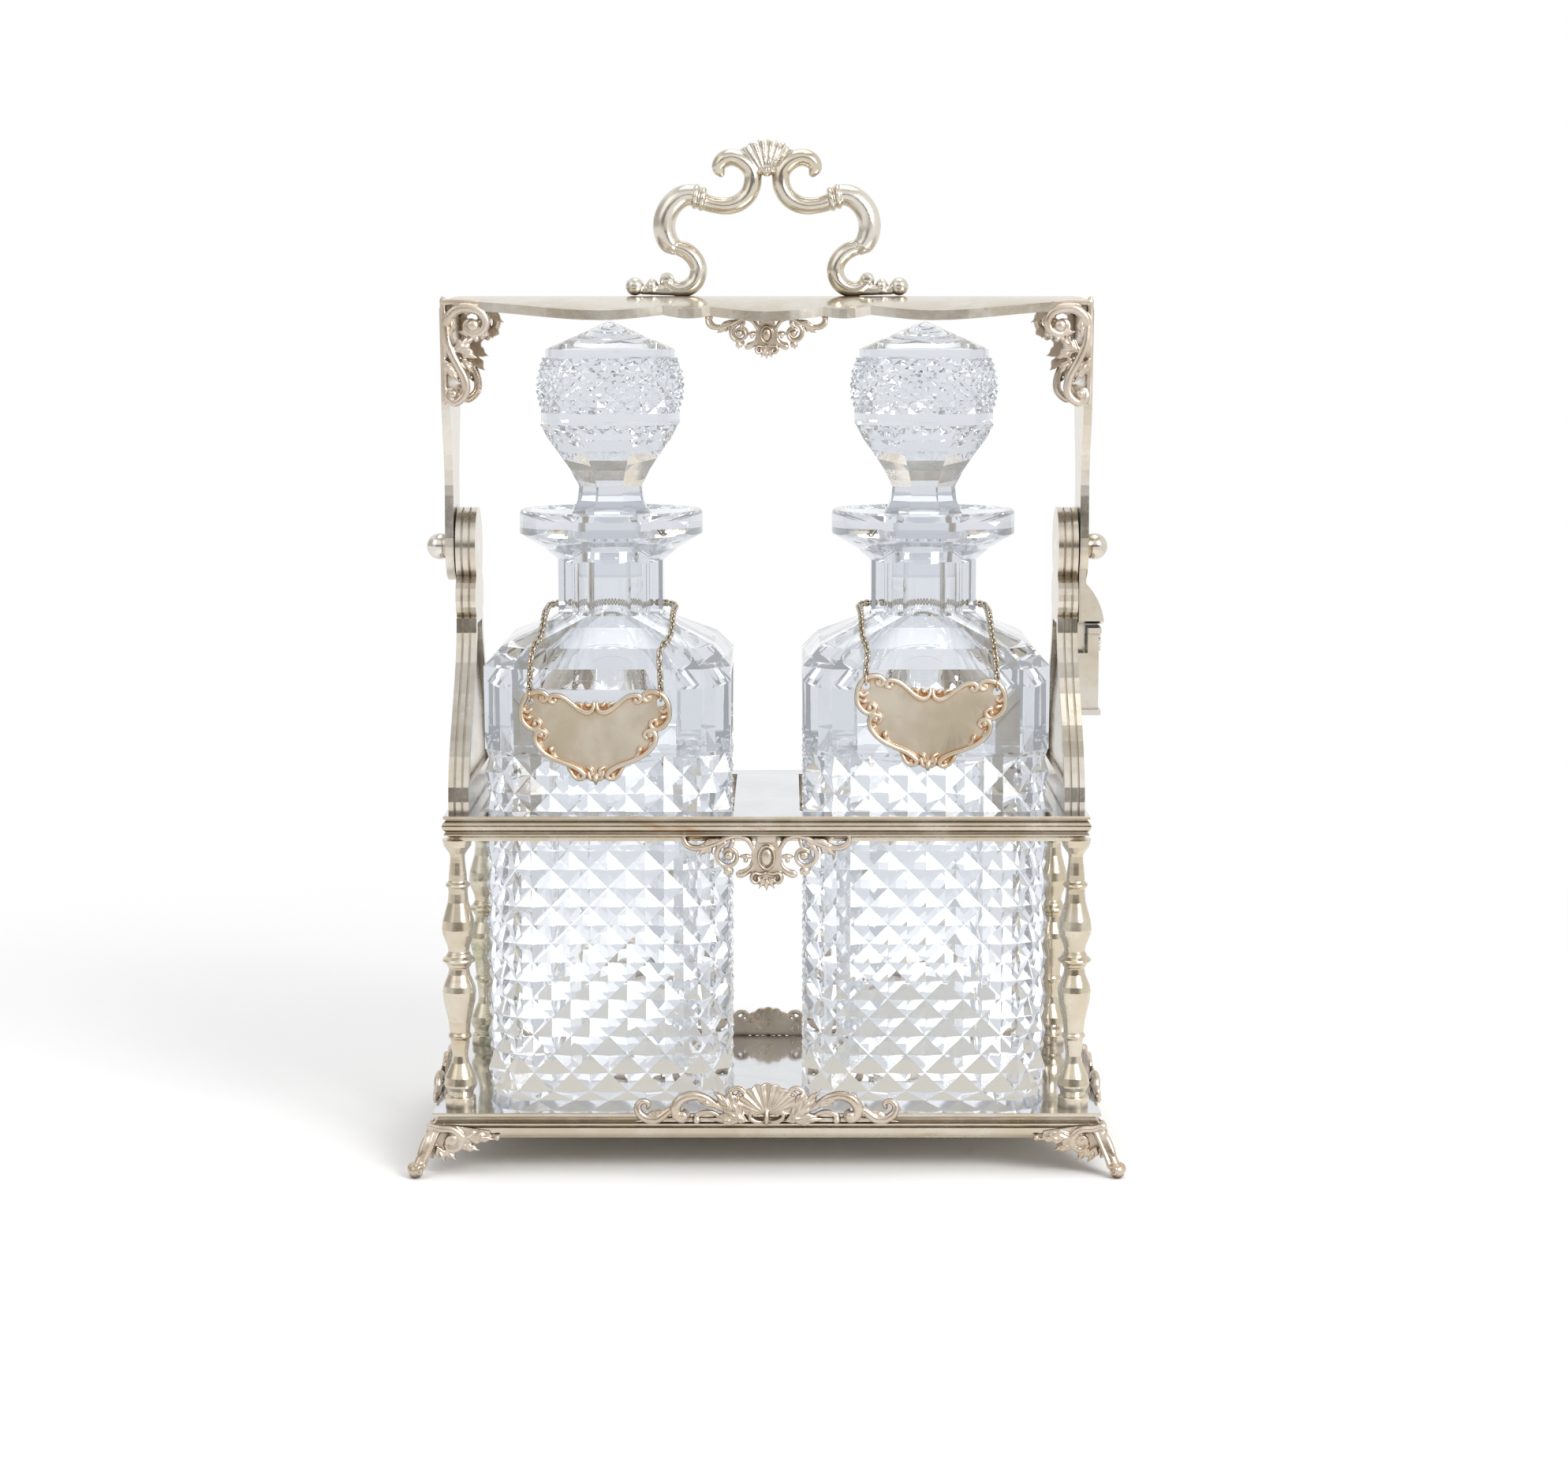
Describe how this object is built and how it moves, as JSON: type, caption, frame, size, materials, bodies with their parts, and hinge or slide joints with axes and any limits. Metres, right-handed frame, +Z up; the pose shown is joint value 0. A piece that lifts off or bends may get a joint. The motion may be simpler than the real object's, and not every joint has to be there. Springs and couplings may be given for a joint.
{
  "type": "tantalus",
  "caption": "Lockable silver-plated decanter stand with a swing-over carrying bail, a lock on one upright, and square diamond-cut stoppered decanters with hanging labels.",
  "frame": {"origin": "middle of the footprint, on the surface the feet stand on", "axes": "+X to the user's right, +Y to the rear, +Z up; the labels face -Y"},
  "size_m": [0.249, 0.133, 0.3565],
  "materials": {
    "silver_plate": "aged silver plate, warm tone, light tarnish",
    "cast_silver": "cast ornament, silver-plated, tarnished in the recesses",
    "bright_silver": "polished silver plate",
    "dark_metal": "dull, darkened",
    "crystal": "clear cut lead crystal, polished"
  },
  "bodies": {
    "stand": {"base_tray": "silver_plate", "base_plate": "silver_plate", "foot_front_left": "cast_silver", "foot_front_right": "cast_silver", "foot_rear_left": "cast_silver", "foot_rear_right": "cast_silver", "tray_mount_front": "cast_silver", "tray_mount_rear": "cast_silver", "tray_mount_left": "cast_silver", "tray_mount_right": "cast_silver", "baluster_front_left": "silver_plate", "baluster_front_right": "silver_plate", "baluster_rear_left": "silver_plate", "baluster_rear_right": "silver_plate", "baluster_nuts": "dark_metal", "gallery_frame": "silver_plate", "gallery_screws": "dark_metal", "gallery_pendant_front": "cast_silver", "gallery_pendant_rear": "cast_silver", "upright_left": "silver_plate", "upright_right": "silver_plate", "pivot_screw_left": "bright_silver", "pivot_screw_right": "bright_silver", "lock_case": "silver_plate", "lock_escutcheon": "bright_silver"},
    "bail": {"bail_frame": "silver_plate", "handle": "silver_plate", "hasp": "silver_plate", "bracket_front_left": "cast_silver", "bracket_front_right": "cast_silver", "bracket_rear_left": "cast_silver", "bracket_rear_right": "cast_silver", "bail_pendant_front": "cast_silver", "bail_pendant_rear": "cast_silver"},
    "lock_plug": {"lock_plug": "dark_metal"},
    "lock_bolt": {"lock_bolt": "dark_metal"},
    "decanter_left": {"decanter_left": "crystal", "chain_left": "silver_plate"},
    "stopper_left": {"stopper_left": "crystal"},
    "label_left": {"label_left": "cast_silver", "label_rings_left": "silver_plate"},
    "decanter_right": {"decanter_right": "crystal", "chain_right": "silver_plate"},
    "stopper_right": {"stopper_right": "crystal"},
    "label_right": {"label_right": "cast_silver", "label_rings_right": "silver_plate"}
  },
  "joints": [
    {"name": "bail_swing", "type": "hinge", "parent": "stand", "child": "bail", "pos_m": [0, 0, 0.2137], "axis": [-1, 0, 0], "range_deg": [0, 110]},
    {"name": "lock_plug_turn", "type": "hinge", "parent": "stand", "child": "lock_plug", "pos_m": [0.118, 0, 0.1807], "axis": [1, 0, 0], "range_deg": [0, 90]},
    {"name": "bolt_slide", "type": "slide", "parent": "stand", "child": "lock_bolt", "axis": [-1, 0, 0], "range_m": [0, 0.0028]},
    {"name": "decanter_left_lift", "type": "slide", "parent": "stand", "child": "decanter_left", "axis": [0, 0, 1], "range_m": [0, 0.0028]},
    {"name": "decanter_right_lift", "type": "slide", "parent": "stand", "child": "decanter_right", "axis": [0, 0, 1], "range_m": [0, 0.0028]},
    {"name": "stopper_left_lift", "type": "slide", "parent": "decanter_left", "child": "stopper_left", "axis": [0, 0, 1], "range_m": [0, 0.0028]},
    {"name": "stopper_right_lift", "type": "slide", "parent": "decanter_right", "child": "stopper_right", "axis": [0, 0, 1], "range_m": [0, 0.0028]},
    {"name": "label_left_swing", "type": "hinge", "parent": "decanter_left", "child": "label_left", "pos_m": [-0.059, -0.0456, 0.1658], "axis": [-1, 0, 0], "range_deg": [0, 25]},
    {"name": "label_right_swing", "type": "hinge", "parent": "decanter_right", "child": "label_right", "pos_m": [0.05675, -0.0456, 0.1705], "axis": [-0.9991, 0, 0.0419], "range_deg": [0, 25]}
  ],
  "couplings": [
    {"joint": "lock_plug_turn", "follows": "bolt_slide", "rad_per_m": 560.99}
  ]
}
